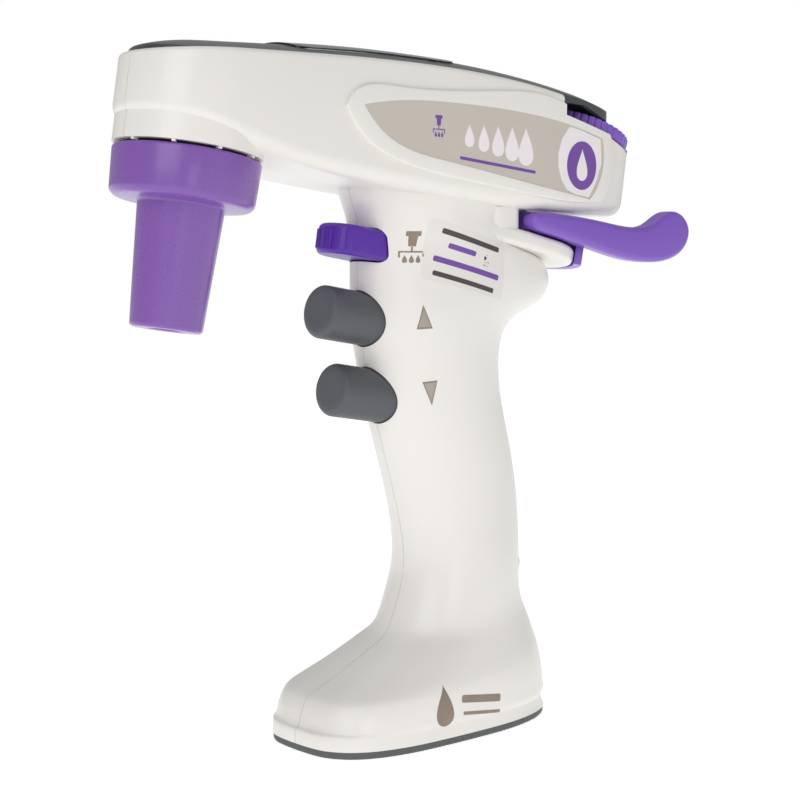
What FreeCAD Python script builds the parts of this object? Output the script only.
import FreeCAD, Part
import math
import os

import Sketcher

Vector = FreeCAD.Vector
Rotation = FreeCAD.Rotation
Placement = FreeCAD.Placement

# Hand-held motorized pipette controller, millimetres. The origin is the centre of
# the foot's underside. -X points to the nose cone, +X to the hand rest, -Y is the
# left-hand side and +Z is up.

SIZES = {
    # The whole head leans forward by this angle: its nose, triggers and stern.
    "head_lean": 9.2,
    "wall": 2.0,
    "seam_gap": 0.08,
    # Nose cone, measured upwards along its own axis from the mouth.
    "mouth_x": -86.48,
    "mouth_z": 118.83,
    "nozzle_length": 33.0,
    "nozzle_tip_r": 9.5,
    "nozzle_root_r": 11.4,
    "nozzle_round": 1.0,
    "mouth_bore_r": 4.75,
    "mouth_lip": 4.0,
    "cone_bore_r": 7.6,
    "collar_height": 12.7,
    "collar_foot_r": 18.9,
    "collar_top_r": 19.5,
    "collar_round": 2.0,
    "collar_floor": 2.6,
    "collar_bore_r": 15.6,
    "collar_gap": 0.8,
    "boss_r": 19.7,
    "boss_height": 14.0,
    "boss_room_r": 17.2,
    "lug_count": 10.0,
    "lug_height": 0.6,
    "lug_width": 1.0,
    # Inside the nose cone.
    "holder_r": 7.3,
    "holder_bore_r": 3.6,
    "holder_flange_r": 11.5,
    "holder_flange": 1.6,
    "filter_r": 12.4,
    "filter_foot": 36.4,
    "filter_height": 6.0,
    "filter_stub_r": 3.0,
    "filter_stub": 5.0,
    "socket_r": 15.2,
    "socket_bore_r": 13.0,
    "socket_foot": 38.0,
    "socket_roof": 48.6,
    "socket_plate": 2.4,
    "socket_port_r": 2.6,
    "socket_port": 6.0,
    "socket_flange_r": 16.6,
    "seal_ring_r": 4.2,
    "seal_wire_r": 0.9,
    # Head block.
    "nose_r": 20.5,
    "stern_r": 16.5,
    "stern_x": 65.0,
    "flank_x": 25.0,
    "level_z": 163.0,
    "head_round": 4.2,
    "rim_round": 1.4,
    "bezel_round": 0.6,
    "bezel_rise": 1.0,
    "label_sink": 0.7,
    "label_thick": 0.5,
    "step_x": 40.6,
    "deck_thick": 4.6,
    # Top cover and display.
    "cover_inset": 2.15,
    "cover_wall": 1.8,
    "cover_foot_z": 183.4,
    "cover_round": 1.0,
    "cover_end_x": 54.6,
    "cover_end_r": 17.9,
    "crown_r": 39.0,
    "window_front": -53.0,
    "window_rear": 5.0,
    "window_half": 13.0,
    "window_corner": 5.0,
    "window_rise": 0.5,
    "window_thick": 1.6,
    # Thumbwheel, its top face.
    "wheel_x": 66.3,
    "wheel_z": 177.75,
    "wheel_lean": 20.0,
    "wheel_r": 17.2,
    "wheel_thick": 3.7,
    "wheel_bore_r": 2.0,
    "wheel_room": 0.6,
    "rib_count": 44.0,
    "rib_r": 0.55,
    "axle_length": 9.0,
    "encoder_side": 13.0,
    "encoder_height": 5.5,
    # Hand rest and its swivel.
    "swivel_x": 40.0,
    "swivel_z": 142.8,
    "swivel_lean": 12.0,
    "web_start": -48.0,
    "web_sweep": 83.0,
    "web_front": -11.0,
    "web_width": 27.0,
    "ledge_r": 18.5,
    "ledge_thick": 5.0,
    "ledge_round": 1.6,
    "hub_r": 10.2,
    "hub_foot": 0.9,
    "hub_top": 6.0,
    "pin_r": 3.0,
    "pin_bore_r": 3.2,
    "pin_foot": -9.0,
    "pin_top": 13.9,
    "skirt_inner_r": 18.95,
    "skirt_outer_r": 21.3,
    "skirt_drop": 4.6,
    "arm_outer_y": 21.1,
    "arm_inner_y": 14.6,
    "arm_round": 1.9,
    "washer_r": 8.0,
    "washer_thick": 0.7,
    # Triggers, measured inwards from each pad's face.
    "pad_r": 7.5,
    "pad_round": 2.0,
    "pad_room": 0.35,
    "pad_x": -36.5,
    "pad_z": 122.8,
    "low_pad_x": -32.3,
    "low_pad_z": 100.8,
    "trigger_length": 24.2,
    "trigger_flange_r": 8.1,
    "trigger_flange": 1.2,
    "stem_r": 1.5,
    "block_near": 38.2,
    "block_depth": 11.0,
    "block_half": 9.0,
    "block_margin": 8.0,
    "bore_r": 1.8,
    "bore_depth": 9.0,
    "stem_reach": 3.0,
    "spring_r": 4.0,
    "spring_wire_r": 0.35,
    "spring_turns": 3.5,
    "spring_slack": 0.2,
    # Aliquot button, measured inwards from its face.
    "button_x": -34.2,
    "button_z": 143.2,
    "button_half": 8.0,
    "button_height": 8.6,
    "button_round": 2.6,
    "button_edge": 1.4,
    "button_room": 0.45,
    "button_flange_at": 22.0,
    "button_flange": 1.4,
    "button_flange_half": 9.0,
    "button_flange_height": 11.4,
    "button_rib_r": 0.4,
    "button_ribs": 7.0,
    "button_spring_length": 7.6,
    "button_spring_r": 2.6,
    "plunger_r": 1.3,
    "plunger_length": 4.2,
    "switch_depth": 6.0,
    "switch_half": 6.0,
    "switch_height": 8.0,
    # Pump.
    "motor_r": 10.0,
    "motor_length": 28.0,
    "motor_x": 4.0,
    "motor_z": 168.0,
    "shaft_r": 1.0,
    "shaft_length": 12.0,
    "cam_r": 3.4,
    "cam_offset": 1.0,
    "cam_width": 4.0,
    "pump_length": 18.0,
    "pump_half": 10.5,
    "pump_height": 19.0,
    "pump_room_r": 6.0,
    "pump_room_depth": 11.0,
    "pump_port_r": 2.2,
    "pump_port": 3.0,
    "bracket_thick": 1.4,
    "tube_r": 1.9,
    # Electronics.
    "board_front": -58.0,
    "board_rear": 36.0,
    "board_half": 14.0,
    "board_thick": 1.4,
    "board_z": 181.2,
    "lead_r": 1.1,
    "display_front": -50.0,
    "display_rear": 2.0,
    "display_half": 11.5,
    "display_foot": 182.8,
    "display_height": 6.0,
    "cell_r": 9.1,
    "cell_length": 65.0,
    "cell_x": 13.0,
    "cell_z": 20.0,
    "cradle_r": 10.9,
    "cradle_bore_r": 9.3,
    "cradle_z": 26.0,
    "cradle_length": 52.0,
    "contact_side": 14.0,
    "contact_thick": 0.6,
    "jack_x": 41.6,
    "jack_z": 13.5,
    "jack_half": 4.5,
    "jack_length": 12.0,
    "jack_bore_r": 2.8,
    "jack_bore_depth": 8.0,
    # Foot and fasteners.
    "foot_thick": 2.2,
    "foot_inset": 0.25,
    "foot_round": 0.8,
    "sole_thick": 2.2,
    "sole_gap": 0.9,
    "boss_screw_r": 3.2,
    "screw_r": 1.4,
    "screw_head_r": 2.7,
    "screw_head": 1.8,
    "screw_sink": 4.0,
    "screw_hole_r": 1.6,
    "counterbore_r": 3.0,
}

doc = FreeCAD.newDocument("pipette_controller")
sheet = doc.addObject("Spreadsheet::Sheet", "Sizes")
for row, (alias, number) in enumerate(SIZES.items(), start=1):
    sheet.set("A%d" % row, alias)
    sheet.set("B%d" % row, str(number))
    sheet.setAlias("B%d" % row, alias)
doc.recompute()

BIG = 300.0


def total(formula):
    """Value of a sum of sheet names and numbers, such as 'wall + collar_gap'."""
    value, sign = 0.0, 1.0
    for word in formula.split():
        if word in ("+", "-"):
            sign = 1.0 if word == "+" else -1.0
        else:
            value += sign * (float(sheet.get(word)) if word in SIZES else float(word))
    return value


def bound(formula):
    """The same sum as an expression on the sheet's cells."""
    return " ".join("Sizes." + word if word in SIZES else word for word in formula.split())


def bind(thing, **formulas):
    """Binds properties of an object to sums of sheet cells."""
    for name, formula in formulas.items():
        thing.setExpression(name, bound(formula))
    return thing


def frame(x, z, lean, y=0.0):
    """A place whose own Z axis leans from +Z towards +X by an angle."""
    return Placement(Vector(x, y, z), Rotation(Vector(0, 1, 0), lean))


def inside(place, x=0.0, y=0.0, z=0.0):
    """A place shifted along its own axes."""
    return place.multiply(Placement(Vector(x, y, z), Rotation()))


WORLD = Placement()
NOSE = frame(total("mouth_x"), total("mouth_z"), total("head_lean"))
SWIVEL = frame(total("swivel_x"), total("swivel_z"), total("swivel_lean"))
WHEEL = frame(total("wheel_x"), total("wheel_z"), total("wheel_lean"))
PAD_UPPER = frame(total("pad_x"), total("pad_z"), 90.0 + total("head_lean"))
PAD_LOWER = frame(total("low_pad_x"), total("low_pad_z"), 90.0 + total("head_lean"))
BUTTON = frame(total("button_x"), total("button_z"), 90.0 + total("head_lean"))
MOTOR = frame(total("motor_x"), total("motor_z"), 90.0)


# ---------------------------------------------------------------- building blocks


def add(kind, name, place=WORLD, **formulas):
    """A document object at a place, with its sizes bound to the sheet."""
    thing = doc.addObject(kind, name)
    bind(thing, **formulas)
    thing.Placement = place
    return thing


def rod(name, place, radius, height):
    """A cylinder along the place's own Z axis."""
    return add("Part::Cylinder", name, place, Radius=radius, Height=height)


def block(name, place, length, width, height):
    """A box that is centred on the place in X and Y and stands on it in Z."""
    thing = add("Part::Box", name, WORLD, Length=length, Width=width, Height=height)
    thing.Placement = inside(place, x=-total(length) / 2, y=-total(width) / 2)
    return thing


def join(kind, name, *things):
    """A fuse or common of several objects."""
    whole = doc.addObject(kind, name)
    whole.Shapes = list(things)
    return whole


def fuse(name, *things):
    return join("Part::MultiFuse", name, *things)


def common(name, *things):
    return join("Part::MultiCommon", name, *things)


def cut(name, base, *tools):
    """The base with each tool cut away."""
    for number, tool in enumerate(tools):
        last = number == len(tools) - 1
        whole = doc.addObject("Part::Cut", name if last else "%s_cut%d" % (name, number))
        whole.Base, whole.Tool = base, tool
        base = whole
    return base


def rounded(name, base, *choices):
    """Fillets a base: each choice is a radius and a test that picks its edges."""
    doc.recompute()
    edges = []
    for number, edge in enumerate(base.Shape.Edges, start=1):
        sizes = [total(radius) for radius, wanted in choices if wanted(edge.BoundBox)]
        if sizes:
            edges.append((number, sizes[0], sizes[0]))
    whole = doc.addObject("Part::Fillet", name)
    whole.Base = base
    whole.Edges = edges
    return whole


def plane_of(body, role):
    """One of a body's own origin planes."""
    return next(o for o in body.Origin.OriginFeatures if o.Role == role)


def draw(body, name, role, curves, lift=None):
    """A sketch of curves on one of a body's own origin planes."""
    sketch = body.newObject("Sketcher::SketchObject", name)
    sketch.AttachmentSupport = (plane_of(body, role), [""])
    sketch.MapMode = "FlatFace"
    if lift is not None:
        sketch.AttachmentOffset = lift
    sketch.addGeometry(list(curves), False)
    return sketch


def lines(points):
    """Straight curves that close a loop through flat points."""
    spots = [Vector(x, y, 0) for x, y in points]
    return [Part.LineSegment(a, b) for a, b in zip(spots, spots[1:] + spots[:1])]


def turned(name, place, outline):
    """A body of revolution from an outline of (radius, height) formulas."""
    body = doc.addObject("PartDesign::Body", name)
    spots = [(total(r), total(w)) for r, w in outline]
    sketch = draw(body, name + "_outline", "XZ_Plane", lines(spots))
    for number, (formulas, values) in enumerate(zip(outline, spots)):
        following = (number + 1) % len(spots)
        sketch.addConstraint(Sketcher.Constraint("Coincident", number, 2, following, 1))
        for axis, formula, value in zip(("DistanceX", "DistanceY"), formulas, values):
            index = sketch.addConstraint(Sketcher.Constraint(axis, -1, 1, number, 1, value))
            if value > 0.0:
                sketch.setExpression("Constraints[%d]" % index, bound(formula))
    turn = body.newObject("PartDesign::Revolution", name + "_turn")
    turn.Profile = sketch
    turn.ReferenceAxis = (sketch, ["V_Axis"])
    turn.Angle = 360.0
    body.Placement = place
    return body


def padded(name, role, curves, length, both_ways=True, place=WORLD, lift=None):
    """A body that pads a sketch, along its normal or both ways."""
    body = doc.addObject("PartDesign::Body", name)
    sketch = draw(body, name + "_outline", role, curves, lift)
    pad = body.newObject("PartDesign::Pad", name + "_pad")
    pad.Profile = sketch
    pad.SideType = "Symmetric" if both_ways else "One side"
    bind(pad, Length=length)
    body.Placement = place
    return body


def smooth(points, closed=False):
    """A spline through flat points."""
    curve = Part.BSplineCurve()
    curve.interpolate([Vector(x, y, 0) for x, y in points], PeriodicFlag=closed)
    return curve


def feature(name, shape):
    """A plain feature that holds a ready shape."""
    thing = doc.addObject("Part::Feature", name)
    thing.Shape = shape
    return thing


def soften(body, radius, wanted):
    """Fillets the edges of a body that a test picks out by their boxes."""
    doc.recompute()
    base = body.Tip
    names = ["Edge%d" % n for n, edge in enumerate(base.Shape.Edges, start=1) if wanted(edge.BoundBox)]
    fillet = body.newObject("PartDesign::Fillet", body.Name + "_fillet")
    fillet.Base = (base, names)
    bind(fillet, Radius=radius)
    return body


def sector(name, place, radius, height, start, sweep):
    """A slice of a cylinder."""
    turned_place = place.multiply(Placement(Vector(), Rotation(Vector(0, 0, 1), total(start))))
    return add("Part::Cylinder", name, turned_place, Radius=radius, Height=height, Angle=sweep)


def tube(name, route, radius):
    """A round tube along straight runs joined by tangent arcs, as large as the runs allow."""
    spots = [Vector(*spot) for spot in route]
    edges, here = [], spots[0]
    for before, corner, after in zip(spots, spots[1:], spots[2:]):
        come, leave = corner - before, after - corner
        half_turn = come.getAngle(leave) / 2
        reach = 0.45 * min(come.Length, leave.Length)
        entry = corner - Vector(come).normalize() * reach
        way_out = corner + Vector(leave).normalize() * reach
        bend = reach / math.tan(half_turn)
        inward = (Vector(leave).normalize() - Vector(come).normalize()).normalize()
        middle = corner + inward * (bend / math.cos(half_turn) - bend)
        edges += [Part.LineSegment(here, entry).toShape(), Part.Arc(entry, middle, way_out).toShape()]
        here = way_out
        print("%s bend radius %.1f" % (name, bend))
    edges.append(Part.LineSegment(here, spots[-1]).toShape())
    path = Part.Wire(edges)
    start = Part.Circle(spots[0], spots[1] - spots[0], total(radius))
    pipe = path.makePipeShell([Part.Wire([start.toShape()])], True, True)
    print("%s volume ratio %.3f" % (name, pipe.Volume / (math.pi * total(radius) ** 2 * path.Length)))
    return feature(name, pipe)


# ---------------------------------------------------------------- casing, outside and cavity


def head_plan(grow):
    """The head's plan seen along its lean: a round nose, long flanks and a tapered stern."""
    lean = math.radians(total("head_lean"))
    level = total("level_z")
    nose_x = total("mouth_x") + (level - total("mouth_z")) * math.tan(lean)
    half = total("nose_r") + grow
    stern = total("stern_r") + grow
    run = (total("stern_x") - total("flank_x")) * math.cos(lean)
    start = (total("flank_x") - nose_x) * math.cos(lean)
    big = (run ** 2 + half ** 2 - stern ** 2) / (2 * (half - stern))
    swing = math.asin(run / (big - stern))
    hollow = Vector(start, big - half, 0)
    centre = Vector(start + run, 0, 0)
    curves = [
        Part.ArcOfCircle(Part.Circle(Vector(), Vector(0, 0, 1), half), math.pi / 2, 3 * math.pi / 2),
        Part.LineSegment(Vector(0, -half, 0), Vector(start, -half, 0)),
        Part.ArcOfCircle(Part.Circle(hollow, Vector(0, 0, 1), big), -math.pi / 2, swing - math.pi / 2),
        Part.ArcOfCircle(Part.Circle(centre, Vector(0, 0, 1), stern), swing - math.pi / 2, math.pi / 2 - swing),
        Part.ArcOfCircle(
            Part.Circle(Vector(start, half - big, 0), Vector(0, 0, 1), big), math.pi / 2 - swing, math.pi / 2
        ),
        Part.LineSegment(Vector(start, half, 0), Vector(0, half, 0)),
    ]
    return curves, frame(nose_x, level, total("head_lean"))


def head_prism(name, grow):
    """The head's plan drawn out along its lean, larger than the head is tall."""
    curves, place = head_plan(grow)
    body = padded(name, "XY_Plane", curves, "160.0", place=place)
    return body


ROOF = [(-104.0, 189.6), (-60.0, 190.3), (-20.0, 190.6), (15.0, 188.9)]
ROOF_END_Z = 185.6
BELLY = [(100.0, 150.2), (60.0, 150.6), (24.0, 151.9), (-33.0, 157.9), (-60.0, 162.3), (-74.0, 166.2), (-87.0, 170.8), (-104.0, 172.2)]
DECK_SLOPE = 0.21
DECK_X, DECK_Z = 44.7, 178.6


def deck_z(x):
    """Height of the white deck under the thumbwheel."""
    return DECK_Z - DECK_SLOPE * (x - DECK_X)


def head_side(grow):
    """The head's side view: roof line, step to the wheel's deck and belly."""
    step = total("step_x") + grow
    roof = [(x, z + grow) for x, z in ROOF] + [(step, ROOF_END_Z + grow)]
    belly = [(x, z - grow) for x, z in BELLY]
    far = belly[0][0]
    deck_near = (step, deck_z(step) + grow)
    deck_far = (far, deck_z(far) + grow)
    return [
        smooth(roof),
        Part.LineSegment(Vector(*roof[-1], 0), Vector(*deck_near, 0)),
        Part.LineSegment(Vector(*deck_near, 0), Vector(*deck_far, 0)),
        Part.LineSegment(Vector(*deck_far, 0), Vector(*belly[0], 0)),
        smooth(belly),
        Part.LineSegment(Vector(*belly[-1], 0), Vector(*roof[0], 0)),
    ]


def head_block(name, grow):
    """Side view and plan view of the head, crossed."""
    side = padded(name + "_side", "XZ_Plane", head_side(grow), "60.0")
    return common(name, side, head_prism(name + "_plan", grow))


# Handle and foot, as two pull lines that run from the sole up, in front (x, z, half
# width) and behind (x, z, squareness in front, squareness behind). Squareness 2 is an
# ellipse.
GRIP_FRONT = [
    (-45.1, 2.2, 24.8),
    (-44.4, 5.5, 24.8),
    (-43.4, 9.0, 24.7),
    (-42.2, 12.6, 24.5),
    (-40.8, 15.0, 24.2),
    (-36.0, 16.6, 23.6),
    (-30.0, 19.2, 22.4),
    (-24.0, 22.0, 21.2),
    (-18.0, 25.0, 20.0),
    (-12.4, 27.4, 19.0),
    (-9.8, 31.0, 18.4),
    (-7.8, 37.0, 18.0),
    (-5.0, 44.0, 17.7),
    (-4.4, 52.0, 16.8),
    (-7.0, 64.0, 15.3),
    (-11.8, 80.0, 15.3),
    (-17.4, 97.0, 15.6),
    (-20.4, 112.0, 16.2),
    (-21.8, 123.0, 17.0),
    (-22.2, 131.0, 17.3),
    (-22.3, 137.0, 17.3),
    (-22.3, 142.0, 17.3),
    (-22.3, 147.0, 17.4),
    (-23.2, 152.0, 17.6),
    (-26.0, 157.0, 17.8),
    (-28.0, 165.0, 17.8),
]
GRIP_REAR = [
    (43.4, 2.2, 2.7),
    (43.2, 5.5, 2.7),
    (42.9, 9.5, 2.7),
    (42.6, 13.5, 2.7),
    (42.2, 17.0, 2.6),
    (41.6, 20.0, 2.6),
    (40.9, 23.4, 2.5),
    (40.1, 26.6, 2.4),
    (39.3, 29.6, 2.3),
    (38.2, 32.4, 2.2),
    (37.0, 35.4, 2.1),
    (36.3, 40.0, 2.0),
    (36.3, 46.0, 2.0),
    (36.7, 54.0, 2.0),
    (37.2, 66.0, 2.0),
    (34.2, 82.0, 2.0),
    (29.0, 98.0, 2.0),
    (28.0, 110.0, 2.1),
    (30.5, 119.5, 2.2),
    (47.0, 123.5, 2.3),
    (50.5, 131.0, 2.4),
    (46.0, 137.5, 2.5),
    (30.0, 141.0, 2.7),
    (26.5, 146.0, 2.8),
    (26.8, 153.0, 2.9),
    (27.0, 165.0, 2.9),
]
# Squareness of the front half, row by row.
GRIP_BOW = [3.1, 3.1, 3.1, 3.0, 2.9, 2.7, 2.5, 2.35, 2.25, 2.15, 2.1, 2.05] + [2.0] * 14
GRIP_SECTIONS = 36
SECTION_POINTS = 32


def section(front, rear, bow, inset):
    """One closed section of the grip, on a plane that tips from front to rear."""
    front_x, front_z, half = front
    rear_x, rear_z, squareness = rear
    reach = (rear_x - front_x) / 2 - inset
    middle = (rear_x + front_x) / 2
    spots = []
    for number in range(SECTION_POINTS):
        turn = 2 * math.pi * number / SECTION_POINTS
        across, along = math.sin(turn), math.cos(turn)
        power = 2.0 / (squareness if along > 0 else bow)
        x = middle + reach * math.copysign(abs(along) ** power, along)
        y = (half - inset) * math.copysign(abs(across) ** power, across)
        z = front_z + (rear_z - front_z) * (x - front_x) / (rear_x - front_x)
        spots.append(Vector(x, y, z))
    curve = Part.BSplineCurve()
    knots = [float(number) for number in range(SECTION_POINTS + 1)]
    curve.interpolate(Points=spots, PeriodicFlag=True, Parameters=knots)
    return Part.Wire([curve.toShape()])


def pull_line(rows):
    """A spline that is drawn towards its rows, without overshooting them."""
    curve = Part.BSplineCurve()
    curve.buildFromPoles([Vector(*row) for row in rows], False, 3)
    return curve


def grip(name, inset):
    """The handle and the foot as one soft loft."""
    front, rear = pull_line(GRIP_FRONT), pull_line(GRIP_REAR)
    bow = pull_line([(row, power, 0.0) for row, power in enumerate(GRIP_BOW)])
    steps = [number / (GRIP_SECTIONS - 1) for number in range(GRIP_SECTIONS)]
    wires = [section(front.value(step), rear.value(step), bow.value(step).y, inset) for step in steps]
    return feature(name, Part.makeLoft(wires, True, False))


LEDGE_FRONT = -56.0
LEDGE_TIP = 12.0
LEDGE_WIDE = -12.0


def ledge(name):
    """The tongue that carries the hand rest: it widens backwards into a round shelf."""
    radius = total("ledge_r")
    tip, wide, thick = LEDGE_TIP, LEDGE_WIDE, total("ledge_thick")
    curves = [
        Part.LineSegment(Vector(LEDGE_FRONT, tip, 0), Vector(LEDGE_FRONT, -tip, 0)),
        Part.LineSegment(Vector(LEDGE_FRONT, -tip, 0), Vector(wide, -radius, 0)),
        Part.LineSegment(Vector(wide, -radius, 0), Vector(0, -radius, 0)),
        Part.ArcOfCircle(Part.Circle(Vector(), Vector(0, 0, 1), radius), -math.pi / 2, math.pi / 2),
        Part.LineSegment(Vector(0, radius, 0), Vector(wide, radius, 0)),
        Part.LineSegment(Vector(wide, radius, 0), Vector(LEDGE_FRONT, tip, 0)),
    ]
    face = Part.Face(Part.Wire([curve.toShape() for curve in curves]))
    slab = feature(name + "_sharp", face.extrude(Vector(0, 0, thick)))
    slab.Placement = inside(SWIVEL, z=-thick)
    doc.recompute()
    return rounded(name, slab, ("ledge_round", lambda box: box.XMax - box.XMin > 8.0))


BEZEL_TOP = [(-43.2, 177.6), (-39.5, 181.9), (-25.0, 183.7), (10.0, 184.7), (34.5, 184.4), (44.0, 181.5)]
BEZEL_REAR = [(44.0, 181.5), (62.0, 176.0), (65.2, 170.0), (63.8, 160.0), (59.0, 154.2)]
BEZEL_FOOT = [(59.0, 154.2), (40.0, 154.2), (10.0, 157.8), (-22.0, 162.8), (-36.5, 169.0), (-43.2, 177.6)]
LABEL_TOP = [(-37.4, 178.0), (-24.7, 179.8), (-4.0, 180.3), (28.0, 178.6), (58.6, 173.4)]
LABEL_REAR = [(58.6, 173.4), (59.4, 166.0), (52.6, 154.9)]
LABEL_FOOT = [(52.6, 154.9), (38.5, 156.9), (-7.4, 164.1), (-28.9, 169.9), (-37.4, 178.0)]


def flank_prism(name, *edges):
    """A flank outline drawn across the head."""
    return padded(name, "XZ_Plane", [smooth(edge) for edge in edges], "60.0")


# Casing screws from nose to heel: x, z and how far each post reaches to the sides.
FASTENERS = [
    (-48.0, 165.5, 19.3),
    (71.0, 160.5, 13.8),
    (17.0, 101.0, 12.0),
    (28.5, 46.0, 11.6),
    (-29.0, 9.5, 20.6),
]


def across(x, z, y):
    """A place at the right-hand side whose own Z axis points to the left, -Y."""
    return Placement(Vector(x, y, z), Rotation(Vector(1, 0, 0), 90.0))


def backwards(x, z):
    """A place whose own Z axis points backwards, +X."""
    return Placement(Vector(x, 0, z), Rotation(Vector(0, 1, 0), 90.0))


def outside():
    """The casing's outer form, solid."""
    head = rounded(
        "head_soft_belly",
        head_block("head", 0.0),
        ("head_round", lambda box: box.ZMin < 170.0 and box.ZMax < 174.0 and box.ZMax - box.ZMin < 18.0),
    )
    head = rounded("head_soft", head, ("rim_round", lambda box: box.ZMin > 180.0 and box.XMax - box.XMin > 1.0))
    bezel = rounded(
        "bezel_soft",
        common(
            "bezel",
            head_prism("bezel_plan", total("bezel_rise")),
            flank_prism("bezel_side", BEZEL_TOP, BEZEL_REAR, BEZEL_FOOT),
        ),
        ("bezel_round", lambda box: abs(box.YMin + box.YMax) > 30.0 and box.XMax - box.XMin > 6.0),
    )
    boss = rod("boss", inside(NOSE, z=total("nozzle_length + collar_height + collar_gap")), "boss_r", "boss_height")
    return fuse("outside", head, bezel, boss, grip("grip", 0.0), ledge("ledge"))


def head_room_side(wall):
    """The head room's side view: open upwards in front, closed under the wheel's deck."""
    belly = [(x, z + wall) for x, z in BELLY]
    step = total("step_x") - wall
    far = belly[0][0]
    deck = total("deck_thick")
    outline = [(far, deck_z(far) - deck), (step, deck_z(step) - deck), (step, SKY), (belly[-1][0], SKY), belly[-1]]
    corners = [Vector(x, z, 0) for x, z in outline]
    curves = [Part.LineSegment(low, high) for low, high in zip(corners, corners[1:])]
    curves += [smooth(belly), Part.LineSegment(Vector(*belly[0], 0), corners[0])]
    return padded("head_room_side", "XZ_Plane", curves, "60.0")


def hollow():
    """The room inside the casing, open at the top of the head and under the foot."""
    wall = total("wall")
    room = common("head_room", head_room_side(wall), head_prism("head_room_plan", -wall))
    boss_foot = total("nozzle_length + collar_height + collar_gap - 1.0")
    boss = rod("boss_room", inside(NOSE, z=boss_foot), "boss_room_r", "boss_height + 6.0")
    return fuse("hollow", room, boss, grip("grip_room", wall))


def slot(name, place, width, height, corner, length):
    """A prism with a rounded rectangle as its section, along the place's own Z axis."""
    wide, tall, round_r = total(width) / 2, total(height) / 2, total(corner)
    arcs = []
    for turn, (sx, sy) in enumerate([(1, 1), (-1, 1), (-1, -1), (1, -1)]):
        centre = Vector(sx * (tall - round_r), sy * (wide - round_r), 0)
        start = turn * math.pi / 2
        arcs.append(Part.ArcOfCircle(Part.Circle(centre, Vector(0, 0, 1), round_r), start, start + math.pi / 2))
    loop = []
    for here, after in zip(arcs, arcs[1:] + arcs[:1]):
        loop += [here, Part.LineSegment(here.EndPoint, after.StartPoint)]
    return padded(name, "XY_Plane", loop, length, both_ways=False, place=place)


def encoder_place():
    """Where the dial encoder stands, with its top just under the thumbwheel."""
    return inside(WHEEL, z=-total("wheel_thick + wheel_room + encoder_height"))


def casing_halves():
    """The two casing halves, with all their openings."""
    skin = cut("skin", outside(), hollow())
    pillars = [
        rod("pillar_%d" % number, across(x, z, reach), "boss_screw_r", "%.1f" % (2 * reach))
        for number, (x, z, reach) in enumerate(FASTENERS, start=1)
    ]
    lug_foot = total("nozzle_length + collar_height + collar_gap - lug_height")
    lugs = []
    for number in range(int(total("lug_count"))):
        turn = Placement(Vector(), Rotation(Vector(0, 0, 1), 360.0 * number / total("lug_count") + 9.0))
        place = inside(inside(NOSE, z=lug_foot).multiply(turn), x=total("boss_r - 1.4"))
        lugs.append(block("lug_%d" % number, place, "1.6", "lug_width", "lug_height + 0.5"))
    body = fuse("casing", skin, *pillars, *lugs)
    gap = "button_room + button_room"
    deck_front = total("step_x")
    above_deck = [(deck_front, deck_z(deck_front)), (BIG / 3, deck_z(BIG / 3)), (BIG / 3, SKY), (deck_front, SKY)]
    openings = [
        rod("upper_opening", inside(PAD_UPPER, z=4.0), "pad_r + pad_room", "24.0"),
        rod("lower_opening", inside(PAD_LOWER, z=4.0), "pad_r + pad_room", "24.0"),
        slot(
            "button_opening",
            inside(BUTTON, z=6.0),
            "button_half + button_half + " + gap,
            "button_height + " + gap,
            "button_round",
            "15.6",
        ),
        rod("wheel_opening", inside(WHEEL, z=-total("wheel_thick + wheel_room")), "wheel_r + wheel_room", "12.0"),
        block("encoder_opening", inside(encoder_place(), z=-1.0), "encoder_side + 0.4", "encoder_side + 0.4", "9.0"),
        rod("pin_opening", inside(SWIVEL, z=total("pin_foot")), "pin_r + 0.05", "26.0"),
        rod("jack_opening", backwards(36.0, total("jack_z")), "jack_half + 0.3 - 1.0", "10.0"),
        label_plate("label_opening", total("bezel_rise - label_sink"), 1.0),
        padded("above_deck", "XZ_Plane", lines(above_deck), "60.0"),
        common("cover_seat", cover_plan("seat_plan_area", total("cover_inset") - 0.1), cover_side("seat_space", -0.15)),
    ]
    for number, (x, z, reach) in enumerate(FASTENERS, start=1):
        openings.append(rod("screw_hole_%d" % number, across(x, z, reach), "screw_hole_r", "%.1f" % (2 * reach - 3.0)))
        openings.append(
            rod("counterbore_%d" % number, across(x, z, 40.0), "counterbore_r", "%.1f" % (40.0 - reach + total("screw_sink")))
        )
    open_body = cut("open_casing", body, fuse("openings", *openings))
    halves = {}
    for side, y in (("left", -BIG - total("seam_gap")), ("right", total("seam_gap"))):
        half = add("Part::Box", side + "_half", Placement(Vector(-BIG / 2, y, -BIG / 2), Rotation()))
        half.Length, half.Width, half.Height = BIG, BIG, 2 * BIG
        halves[side] = common(side + "_housing", open_body, half)
    return halves["left"], halves["right"]


def label_plate(name, floor, thick):
    """The two flank labels: a slice of the flanks, floor mm above the head's own sides."""
    outer_plan = head_prism(name + "_outer", floor + thick)
    ring = cut(name + "_ring", outer_plan, head_prism(name + "_inner", floor))
    return common(name, ring, flank_prism(name + "_side", LABEL_TOP, LABEL_REAR, LABEL_FOOT))


def flank_labels():
    """One printed label on each flank."""
    both = label_plate("labels", total("bezel_rise - label_sink") + 0.02, total("label_thick"))
    sides = []
    for side, y in (("left", -BIG), ("right", 0.0)):
        half = add("Part::Box", side + "_label_half", Placement(Vector(-BIG / 2, y, -BIG / 2), Rotation()))
        half.Length, half.Width, half.Height = BIG, BIG, 2 * BIG
        sides.append(common(side + "_label", both, half))
    return sides


# ---------------------------------------------------------------- top cover and display

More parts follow.
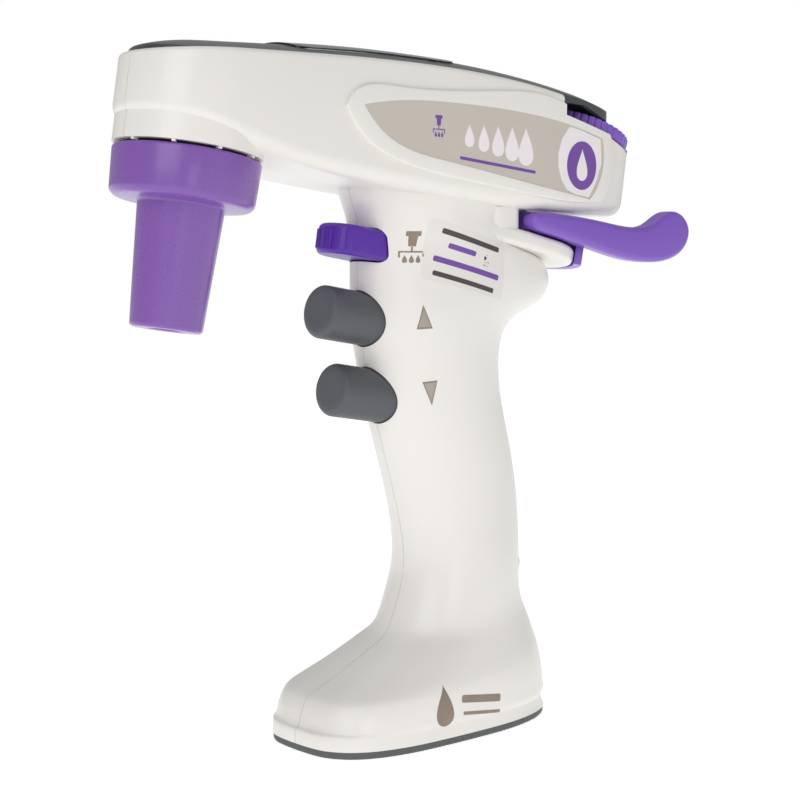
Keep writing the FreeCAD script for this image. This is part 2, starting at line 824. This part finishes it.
CROWN = [
    (-112.0, 184.0),
    (-98.0, 189.4),
    (-88.0, 192.3),
    (-74.0, 193.4),
    (-50.0, 194.4),
    (-30.0, 194.9),
    (-8.0, 194.6),
    (12.0, 193.7),
    (30.0, 192.0),
    (48.0, 189.4),
    (59.0, 187.0),
    (67.0, 184.2),
    (74.0, 180.2),
    (82.0, 173.5),
]
CROWN_HALF = 24.0
CROWN_FOOT = 150.0
SKY = 230.0


def crown(name, lift):
    """A long crowned form: the same arc across at every station, on a curved ridge."""
    radius = total("crown_r")
    wires = []
    for x, z in CROWN:
        top = z + lift
        edge = top - radius + math.sqrt(radius ** 2 - CROWN_HALF ** 2)
        left, right = Vector(x, -CROWN_HALF, edge), Vector(x, CROWN_HALF, edge)
        low_right, low_left = Vector(x, CROWN_HALF, CROWN_FOOT), Vector(x, -CROWN_HALF, CROWN_FOOT)
        wires.append(
            Part.Wire(
                [
                    Part.Arc(left, Vector(x, 0, top), right).toShape(),
                    Part.LineSegment(right, low_right).toShape(),
                    Part.LineSegment(low_right, low_left).toShape(),
                    Part.LineSegment(low_left, left).toShape(),
                ]
            )
        )
    return feature(name, Part.makeLoft(wires, True, False))


def cover_plan(name, shrink):
    """The cover's plan: the head's own plan, shrunk, with a rounder and shorter rear end."""
    centre = total("cover_end_x")
    end_r = total("cover_end_r") - shrink + total("cover_inset")
    tail = rod(name + "_tail", Placement(Vector(centre, 0, 100), Rotation()), "%.2f" % end_r, "160.0")
    front = add("Part::Box", name + "_front", Placement(Vector(centre - BIG, -BIG / 2, 100), Rotation()))
    front.Length, front.Width, front.Height = BIG, BIG, 160.0
    return common(name, head_prism(name + "_head", -shrink), fuse(name + "_limit", tail, front))


def cover_side(name, lift):
    """The space above the cover's foot line, which follows the thumbwheel at the rear."""
    slope = math.tan(math.radians(total("wheel_lean")))
    foot = total("cover_foot_z") + lift
    above = total("wheel_room") / math.cos(math.radians(total("wheel_lean"))) + lift
    start = total("wheel_x") + (total("wheel_z") + above - foot) / slope
    far = 90.0
    outline = [(-120.0, foot), (start, foot), (far, foot - (far - start) * slope), (far, SKY), (-120.0, SKY)]
    return padded(name, "XZ_Plane", lines(outline), "60.0")


def window_prism(name, grow):
    """The display window's plan, a rounded rectangle."""
    middle = total("window_front + window_rear") / 2
    place = Placement(Vector(middle, 0, 186.0), Rotation())
    long_side = "%.2f" % (total("window_rear - window_front") + 2 * grow)
    wide_side = "%.2f" % (2 * total("window_half") + 2 * grow)
    return slot(name, place, wide_side, long_side, "window_corner", "20.0")


def top_cover():
    """The dark crowned cover with its window opening."""
    solid = common("cover_solid", crown("cover_crown", 0.0), cover_plan("cover_plan", total("cover_inset")), cover_side("cover_side", 0.0))
    soft = rounded("cover_soft", solid, ("cover_round", lambda box: box.ZMax > 186.0 and box.XMax - box.XMin > 1.0))
    wall = total("cover_wall")
    room = common(
        "cover_room",
        crown("cover_room_crown", -wall),
        cover_plan("cover_room_plan", total("cover_inset") + wall),
    )
    seat = cut("window_seat", window_prism("window_seat_plan", 0.15), crown("seat_floor", total("window_rise - window_thick")))
    return cut("top_cover", soft, room, seat, window_prism("window_opening", -2.0))


def display_window():
    """The clear window, a crowned slice that stands slightly proud of the cover."""
    slab = common("window_slab", crown("window_crown", total("window_rise")), window_prism("window_plan", 0.0))
    base = crown("window_floor", total("window_rise - window_thick") + 0.05)
    return cut("display_window", slab, base)


# ---------------------------------------------------------------- nose


def nose_cone():
    """Collar and nozzle in one moulding, with the mouth that takes the pipette."""
    cone = turned(
        "nose_cone",
        NOSE,
        [
            ("mouth_bore_r", "0.0"),
            ("nozzle_tip_r", "0.0"),
            ("nozzle_root_r", "nozzle_length"),
            ("collar_foot_r", "nozzle_length"),
            ("collar_top_r", "nozzle_length + collar_height"),
            ("collar_bore_r", "nozzle_length + collar_height"),
            ("collar_bore_r", "nozzle_length + collar_floor"),
            ("cone_bore_r", "nozzle_length + collar_floor"),
            ("cone_bore_r", "mouth_lip"),
            ("mouth_bore_r", "mouth_lip"),
        ],
    )
    tip, collar = total("nozzle_tip_r"), total("collar_foot_r")
    floor = total("nozzle_length")
    soften(cone, "collar_round", lambda box: abs(box.ZMax - floor) < 0.01 and abs(box.XMax - collar) < 0.01)
    soften(cone, "nozzle_round", lambda box: abs(box.ZMax) < 0.01 and abs(box.XMax - tip) < 0.01)
    return cone


def pipette_holder():
    """The silicone sleeve that grips a pipette's mouthpiece."""
    return turned(
        "pipette_holder",
        NOSE,
        [
            ("holder_bore_r", "mouth_lip + 0.1"),
            ("holder_r", "mouth_lip + 0.1"),
            ("holder_r", "nozzle_length + collar_floor + 0.1"),
            ("holder_flange_r", "nozzle_length + collar_floor + 0.1"),
            ("holder_flange_r", "nozzle_length + collar_floor + holder_flange"),
            ("holder_bore_r", "nozzle_length + collar_floor + holder_flange"),
        ],
    )


def membrane_filter():
    """A disc filter with a stub above and below."""
    return turned(
        "membrane_filter",
        NOSE,
        [
            ("1.2", "filter_foot + 1.0 - filter_stub"),
            ("filter_stub_r", "filter_foot + 1.0 - filter_stub"),
            ("filter_stub_r", "filter_foot + 1.0"),
            ("filter_r", "filter_foot + 1.2"),
            ("filter_r", "filter_foot + filter_height"),
            ("filter_stub_r", "filter_foot + filter_height + 0.2"),
            ("filter_stub_r", "filter_foot + filter_height + filter_stub"),
            ("1.2", "filter_foot + filter_height + filter_stub"),
        ],
    )


def nose_socket():
    """The threaded socket that the collar screws onto; it carries the air port."""
    return turned(
        "nose_socket",
        NOSE,
        [
            ("socket_bore_r", "socket_foot"),
            ("socket_r", "socket_foot"),
            ("socket_r", "nozzle_length + collar_height + 1.4"),
            ("socket_flange_r", "nozzle_length + collar_height + 1.4"),
            ("socket_flange_r", "socket_roof + socket_plate"),
            ("socket_port_r", "socket_roof + socket_plate"),
            ("socket_port_r", "socket_roof + socket_plate + socket_port"),
            ("1.2", "socket_roof + socket_plate + socket_port"),
            ("1.2", "socket_roof"),
            ("socket_bore_r", "socket_roof"),
        ],
    )


def filter_seal():
    """An O-ring round the filter's upper stub."""
    height = total("filter_foot + filter_height") + total("seal_wire_r") + 0.25
    return add("Part::Torus", "filter_seal", inside(NOSE, z=height), Radius1="seal_ring_r", Radius2="seal_wire_r")


# ---------------------------------------------------------------- triggers, valves and button


def trigger(name, place):
    """A finger pad with a flange behind the casing wall."""
    pad = turned(
        name,
        place,
        [
            ("0.0", "0.0"),
            ("pad_r", "0.0"),
            ("pad_r", "trigger_length - trigger_flange"),
            ("trigger_flange_r", "trigger_length - trigger_flange"),
            ("trigger_flange_r", "trigger_length"),
            ("0.0", "trigger_length"),
        ],
    )
    soften(pad, "pad_round", lambda box: abs(box.ZMax) < 0.01 and box.ZMax - box.ZMin < 0.01)
    return pad


def coil(name, place, radius, length):
    """A compression spring on the place's own Z axis."""
    wire_r = total("spring_wire_r")
    free = length - 2 * wire_r - 2 * total("spring_slack")
    path = Part.makeHelix(free / total("spring_turns"), free, radius)
    ring = Part.Wire([Part.Circle(Vector(radius, 0, 0), Vector(0, 1, 0), wire_r).toShape()])
    shape = Part.Wire(path.Edges).makePipeShell([ring], True, True)
    spring = feature(name, shape)
    spring.Placement = inside(place, z=wire_r + total("spring_slack"))
    return spring


LOWER_STEP = 7.66


def valve_parts():
    """Both valve stems, their springs and the block that they slide in."""
    near = total("block_near")
    length = total("trigger_length")
    parts = []
    for role, place, gap in (
        ("aspirate", PAD_UPPER, near - length),
        ("dispense", PAD_LOWER, near - LOWER_STEP - length),
    ):
        parts.append(rod(role + "_stem", inside(place, z=length), "stem_r", "%.2f + stem_reach" % gap))
        parts.append(coil(role + "_spring", inside(place, z=length), total("spring_r"), gap))
    drop = math.hypot(total("pad_x - low_pad_x"), total("pad_z - low_pad_z"))
    drop = math.sqrt(drop ** 2 - LOWER_STEP ** 2)
    body = block(
        "valve_body",
        inside(PAD_UPPER, x=drop / 2, z=near),
        "%.2f + block_margin + block_margin" % drop,
        "block_half + block_half",
        "block_depth",
    )
    bores = [
        rod("upper_bore", inside(PAD_UPPER, z=near - 1.0), "bore_r", "bore_depth + 1.0"),
        rod("lower_bore", inside(PAD_LOWER, z=near - LOWER_STEP - 1.0), "bore_r", "bore_depth + 1.0"),
    ]
    parts.append(cut("valve_block", body, *bores))
    return parts


def aliquot_button():
    """A ribbed tongue for the forefinger, with a flange and a plunger inside."""
    half = total("button_half")
    root = total("button_flange_at")
    up = Vector(0, 0, 1)
    curves = [
        Part.ArcOfCircle(Part.Circle(Vector(0, half, 0), up, half), math.pi, 2 * math.pi),
        Part.LineSegment(Vector(half, half, 0), Vector(half, root, 0)),
        Part.LineSegment(Vector(half, root, 0), Vector(-half, root, 0)),
        Part.LineSegment(Vector(-half, root, 0), Vector(-half, half, 0)),
    ]
    tongue = padded("button_tongue", "YZ_Plane", curves, "button_height", place=BUTTON)
    soft = rounded("button_soft", tongue, ("button_edge", lambda box: box.XMax - box.XMin > 5.0))
    ribs = []
    for number in range(int(total("button_ribs"))):
        angle = math.radians(-54.0 + 18.0 * number)
        spot = inside(BUTTON, y=half * math.sin(angle), z=half - half * math.cos(angle))
        lay = spot.multiply(Placement(Vector(-total("button_height") / 2 + 1.6, 0, 0), Rotation(Vector(0, 1, 0), 90.0)))
        ribs.append(rod("button_rib_%d" % number, lay, "button_rib_r", "button_height - 3.2"))
    flange = block(
        "button_flange",
        inside(BUTTON, z=root),
        "button_flange_height",
        "button_flange_half + button_flange_half",
        "button_flange",
    )
    plunger = rod("button_plunger", inside(BUTTON, z=root), "plunger_r", "button_flange + plunger_length")
    return fuse("aliquot_button", soft, flange, plunger, *ribs)


def aliquot_switch():
    """The switch behind the button."""
    near = total("button_flange_at + button_flange + button_spring_length")
    return block("aliquot_switch", inside(BUTTON, z=near), "switch_height", "switch_half + switch_half", "switch_depth")


# ---------------------------------------------------------------- thumbwheel


def thumbwheel():
    """A ribbed wheel on a short axle."""
    body = doc.addObject("PartDesign::Body", "thumbwheel")
    up = Vector(0, 0, 1)
    rim = Part.Circle(Vector(), up, total("wheel_r"))
    bore = Part.Circle(Vector(), up, total("wheel_bore_r"))
    sketch = draw(body, "wheel_outline", "XY_Plane", [rim, bore])
    for number, alias in enumerate(("wheel_r", "wheel_bore_r")):
        index = sketch.addConstraint(Sketcher.Constraint("Radius", number, total(alias)))
        sketch.setExpression("Constraints[%d]" % index, bound(alias))
    pad = body.newObject("PartDesign::Pad", "wheel_pad")
    pad.Profile = sketch
    pad.Reversed = True
    bind(pad, Length="wheel_thick")
    doc.recompute()
    groove = draw(body, "wheel_groove", "XY_Plane", [Part.Circle(Vector(total("wheel_r"), 0, 0), up, total("rib_r"))])
    pocket = body.newObject("PartDesign::Pocket", "wheel_pocket")
    pocket.Profile = groove
    pocket.Type = "ThroughAll"
    pocket.SideType = "Symmetric"
    doc.recompute()
    pattern = body.newObject("PartDesign::PolarPattern", "wheel_grooves")
    pattern.Originals = [pocket]
    pattern.Axis = (plane_of(body, "Z_Axis"), [""])
    pattern.Angle = 360.0
    pattern.Occurrences = int(total("rib_count"))
    body.Tip = pattern
    body.Placement = WHEEL
    return body


def dial_parts():
    """The wheel's axle and the encoder that reads it."""
    axle_foot = inside(WHEEL, z=0.5 - total("axle_length"))
    axle = rod("wheel_axle", axle_foot, "wheel_bore_r - 0.02", "axle_length - 0.6")
    body = block("encoder_body", encoder_place(), "encoder_side", "encoder_side", "encoder_height")
    bore = rod("encoder_bore", inside(axle_foot, z=-0.4), "wheel_bore_r + 0.15", "axle_length + 2.0")
    return [axle, cut("dial_encoder", body, bore)]


# ---------------------------------------------------------------- hand rest

ARM = [
    (28.05, 148.2),
    (28.8, 146.4),
    (30.6, 145.55),
    (36.0, 144.3),
    (45.0, 142.3),
    (57.0, 139.6),
    (68.0, 137.2),
    (79.0, 136.1),
    (90.0, 137.2),
    (96.6, 141.0),
    (98.4, 146.2),
    (95.0, 151.0),
    (88.0, 151.7),
    (80.5, 148.1),
    (70.0, 147.0),
    (58.0, 148.5),
    (44.0, 150.1),
    (36.0, 150.8),
    (30.8, 150.8),
    (28.8, 150.0),
]


def hand_rest():
    """The swivelling rest: an arm outside the casing, a hub in the slot and a skirt behind."""
    middle = total("arm_outer_y + arm_inner_y") / 2
    arm = padded(
        "rest_arm",
        "XZ_Plane",
        [smooth(ARM, closed=True)],
        "arm_outer_y - arm_inner_y",
        lift=Placement(Vector(0, 0, middle), Rotation()),
    )
    doc.recompute()
    soft_arm = rounded("rest_arm_soft", arm, ("arm_round", lambda box: box.XMax - box.XMin > 40.0))
    foot = inside(SWIVEL, z=total("hub_foot"))
    hub = rod("rest_hub", foot, "hub_r", "hub_top - hub_foot")
    web = sector("rest_web", foot, "skirt_outer_r", "hub_top - hub_foot", "web_start", "web_sweep")
    bridge_place = inside(foot, x=total("web_front") + total("web_width") / 2, y=-total("arm_inner_y + 1.4") / 2)
    bridge = block("rest_bridge", bridge_place, "web_width", "arm_inner_y + 1.4", "hub_top - hub_foot")
    skirt_place = inside(SWIVEL, z=-total("skirt_drop"))
    skirt = sector("rest_skirt_solid", skirt_place, "skirt_outer_r", "skirt_drop + 2.0", "web_start", "web_sweep")
    skirt = cut("rest_skirt", skirt, rod("skirt_bore", inside(SWIVEL, z=-20.0), "skirt_inner_r", "20.9"))
    solid = fuse("rest_solid", soft_arm, hub, web, bridge, skirt)
    bore = rod("rest_bore", inside(SWIVEL, z=-20.0), "pin_bore_r", "40.0")
    return cut("hand_rest", solid, bore)


def swivel_parts():
    """The pin, its clip and the friction washer under the hub."""
    pin = rod("swivel_pin", inside(SWIVEL, z=total("pin_foot")), "pin_r", "pin_top - pin_foot")
    ring_foot = inside(SWIVEL, z=0.1)
    ring = rod("washer_disc", ring_foot, "washer_r", "washer_thick")
    washer = cut("friction_washer", ring, rod("washer_bore", inside(ring_foot, z=-1.0), "pin_bore_r", "4.0"))
    clip_foot = inside(SWIVEL, z=total("pin_top - 1.4"))
    clip = cut(
        "pin_clip",
        rod("clip_disc", clip_foot, "pin_r + 2.4", "0.9"),
        rod("clip_bore", inside(clip_foot, z=-1.0), "pin_r", "4.0"),
    )
    return [pin, washer, clip]


# ---------------------------------------------------------------- pump


def pump_parts():
    """Motor, shaft with its eccentric, pump head and bracket."""
    motor = rod("pump_motor", inside(MOTOR, z=1.6), "motor_r", "motor_length - 1.6")
    tail = total("shaft_length")
    shaft = rod("shaft_rod", inside(MOTOR, z=-tail), "shaft_r", "shaft_length + 1.5")
    cam = rod("shaft_cam", inside(MOTOR, x=total("cam_offset"), z=2.0 - tail), "cam_r", "cam_width")
    chamber = inside(MOTOR, z=-total("pump_room_depth") - 2.5)
    head = block(
        "pump_case",
        inside(MOTOR, z=-total("pump_length") - 0.2),
        "pump_height",
        "pump_half + pump_half",
        "pump_length",
    )
    room = rod("pump_room", chamber, "pump_room_r", "pump_room_depth + 4.0")
    port = rod(
        "pump_port_rod",
        Placement(Vector(-4.0, 4.0, total("motor_z - pump_port") - total("pump_height") / 2), Rotation()),
        "pump_port_r",
        "pump_port + 1.0",
    )
    pump_head = cut("pump_head", fuse("pump_body", head, port), room)
    bracket_plate = block(
        "bracket_plate", inside(MOTOR, z=0.05), "motor_r + motor_r + 1.0", "motor_r + motor_r + 6.0", "bracket_thick"
    )
    hole = rod("bracket_hole", inside(MOTOR, z=-3.0), "shaft_r + 2.0", "8.0")
    return [motor, fuse("motor_shaft", shaft, cam), pump_head, cut("pump_bracket", bracket_plate, hole)]


NOZZLE_TUBE = [
    (7.9, -4.5, 124.2),
    (10.5, -6.5, 137.0),
    (7.0, -11.0, 150.0),
    (-10.0, -14.2, 162.0),
    (-36.0, -12.0, 173.0),
    (-60.0, -4.0, 177.0),
    (-75.4, 0.0, 187.0),
    (-77.3, 0.0, 175.8),
]
PUMP_TUBE = [
    (7.9, 4.0, 124.2),
    (11.0, 4.6, 135.0),
    (8.0, 4.0, 146.0),
    (-3.0, 3.4, 149.5),
    (-4.0, 4.0, 155.0),
]
BATTERY_LEAD = [
    (20.5, 2.0, 87.0),
    (23.3, 4.0, 101.0),
    (21.5, 6.0, 119.0),
    (20.0, 8.0, 136.0),
    (19.0, 9.4, 151.0),
    (23.0, 12.6, 165.0),
    (31.0, 12.6, 180.4),
]


# ---------------------------------------------------------------- foot, electronics and fasteners


def sole_plate(name, inset, low, thick):
    """A flat plate with the foot's own outline."""
    front, rear = Vector(*GRIP_FRONT[0]), Vector(*GRIP_REAR[0])
    plate = Part.Face(section(front, rear, GRIP_BOW[0], inset)).extrude(Vector(0, 0, thick))
    plate.translate(Vector(0, 0, low - GRIP_FRONT[0][1]))
    return feature(name, plate)


def foot_parts():
    """The rubber pad and the plate that closes the foot."""
    pad = sole_plate("foot_pad_sharp", total("foot_inset"), 0.0, total("foot_thick") - 0.02)
    soft = rounded("foot_pad", pad, ("foot_round", lambda box: box.ZMax < 0.1))
    plate = sole_plate("base_plate", total("wall") + total("sole_gap"), total("foot_thick"), total("sole_thick"))
    return [soft, plate]


def board_parts():
    """Main board and display module."""
    long_side = total("board_rear - board_front")
    board_place = Placement(Vector(total("board_front") + long_side / 2, 0, total("board_z")), Rotation())
    board = block("main_board", board_place, "board_rear - board_front", "board_half + board_half", "board_thick")
    display_long = total("display_rear - display_front")
    display_place = Placement(Vector(total("display_front") + display_long / 2, 0, total("display_foot")), Rotation())
    display = block(
        "display_module",
        display_place,
        "display_rear - display_front",
        "display_half + display_half",
        "display_height",
    )
    return [board, display]


def battery_parts():
    """The cell, its two contacts and the cradle round it."""
    place = Placement(Vector(total("cell_x"), 0, total("cell_z")), Rotation())
    cell = rod("battery_cell", place, "cell_r", "cell_length")
    low = block("lower_contact", inside(place, z=-total("contact_thick") - 0.05), "contact_side", "contact_side", "contact_thick")
    high = block("upper_contact", inside(place, z=total("cell_length") + 0.05), "contact_side", "contact_side", "contact_thick")
    cradle_place = Placement(Vector(total("cell_x"), 0, total("cradle_z")), Rotation())
    sleeve = rod("cradle_sleeve", cradle_place, "cradle_r", "cradle_length")
    bore = rod("cradle_bore", inside(cradle_place, z=-1.0), "cradle_bore_r", "cradle_length + 2.0")
    return [cell, low, high, cut("battery_cradle", sleeve, bore)]


def charging_jack():
    """The charging socket in the heel."""
    length = total("jack_length")
    place = backwards(total("jack_x") - length, total("jack_z"))
    body = block("jack_body", place, "jack_half + jack_half", "jack_half + jack_half", "jack_length - 3.0")
    nose = rod("jack_nose", place, "jack_half - 1.0", "jack_length")
    bore = rod("jack_bore", inside(place, z=length - total("jack_bore_depth")), "jack_bore_r", "12.0")
    pin = rod("jack_pin", inside(place, z=2.0), "1.0", "jack_length - 4.0")
    return fuse("charging_jack", cut("jack_shell", fuse("jack_solid", body, nose), bore), pin)


def casing_screws():
    """One screw at each casing post, as a group."""
    screws = []
    for number, (x, z, reach) in enumerate(FASTENERS, start=1):
        seat = reach - total("screw_sink")
        head = rod("screw_head_%d" % number, across(x, z, seat + total("screw_head") + 0.02), "screw_head_r", "screw_head")
        shank = rod("screw_shank_%d" % number, across(x, z, seat + 0.5), "screw_r", "%.2f" % (2 * seat - 1.0))
        screws.append(fuse("screw_%d" % number, head, shank))
    return screws


# ---------------------------------------------------------------- assembly

NODES = {}


def keep(label, thing):
    """Marks an object as a finished piece, which gets a file of its own."""
    thing.Label = label
    NODES[label] = thing


left_housing, right_housing = casing_halves()
keep("left_housing", left_housing)
keep("right_housing", right_housing)
left_label, right_label = flank_labels()
keep("left_label", left_label)
keep("right_label", right_label)
for thing in (top_cover(), display_window(), nose_cone(), pipette_holder(), membrane_filter(), nose_socket()):
    keep(thing.Name, thing)
for thing in (filter_seal(), trigger("aspirate_trigger", PAD_UPPER), trigger("dispense_trigger", PAD_LOWER)):
    keep(thing.Name, thing)
for thing in valve_parts() + [aliquot_button(), aliquot_switch(), thumbwheel()] + dial_parts():
    keep(thing.Name, thing)
button_spring_place = inside(BUTTON, z=total("button_flange_at + button_flange"))
keep("aliquot_spring", coil("aliquot_spring", button_spring_place, total("button_spring_r"), total("button_spring_length")))
for thing in [hand_rest()] + swivel_parts() + pump_parts() + foot_parts() + board_parts() + battery_parts():
    keep(thing.Name, thing)
keep("charging_jack", charging_jack())
keep("nozzle_tube", tube("nozzle_tube", NOZZLE_TUBE, "tube_r"))
keep("pump_tube", tube("pump_tube", PUMP_TUBE, "tube_r"))
keep("battery_lead", tube("battery_lead", BATTERY_LEAD, "lead_r"))
screw_group = doc.addObject("Part::Compound", "casing_screws")
screw_group.Links = casing_screws()
keep("casing_screws", screw_group)

doc.recompute()
failed = [thing.Label for thing in doc.Objects if "Invalid" in thing.State or "Error" in thing.State]
if failed:
    raise RuntimeError("These objects failed: %s" % ", ".join(failed))
broken = [
    label
    for label, thing in NODES.items()
    if thing.Shape.isNull() or not thing.Shape.isValid() or not thing.Shape.Solids
]
if broken:
    raise RuntimeError("These pieces have no valid shape: %s" % ", ".join(broken))

os.makedirs("parts", exist_ok=True)
for label, thing in NODES.items():
    thing.Shape.exportStep(os.path.join("parts", label + ".step"))
    print("%s: %d solids, %.0f mm3" % (label, len(thing.Shape.Solids), thing.Shape.Volume))
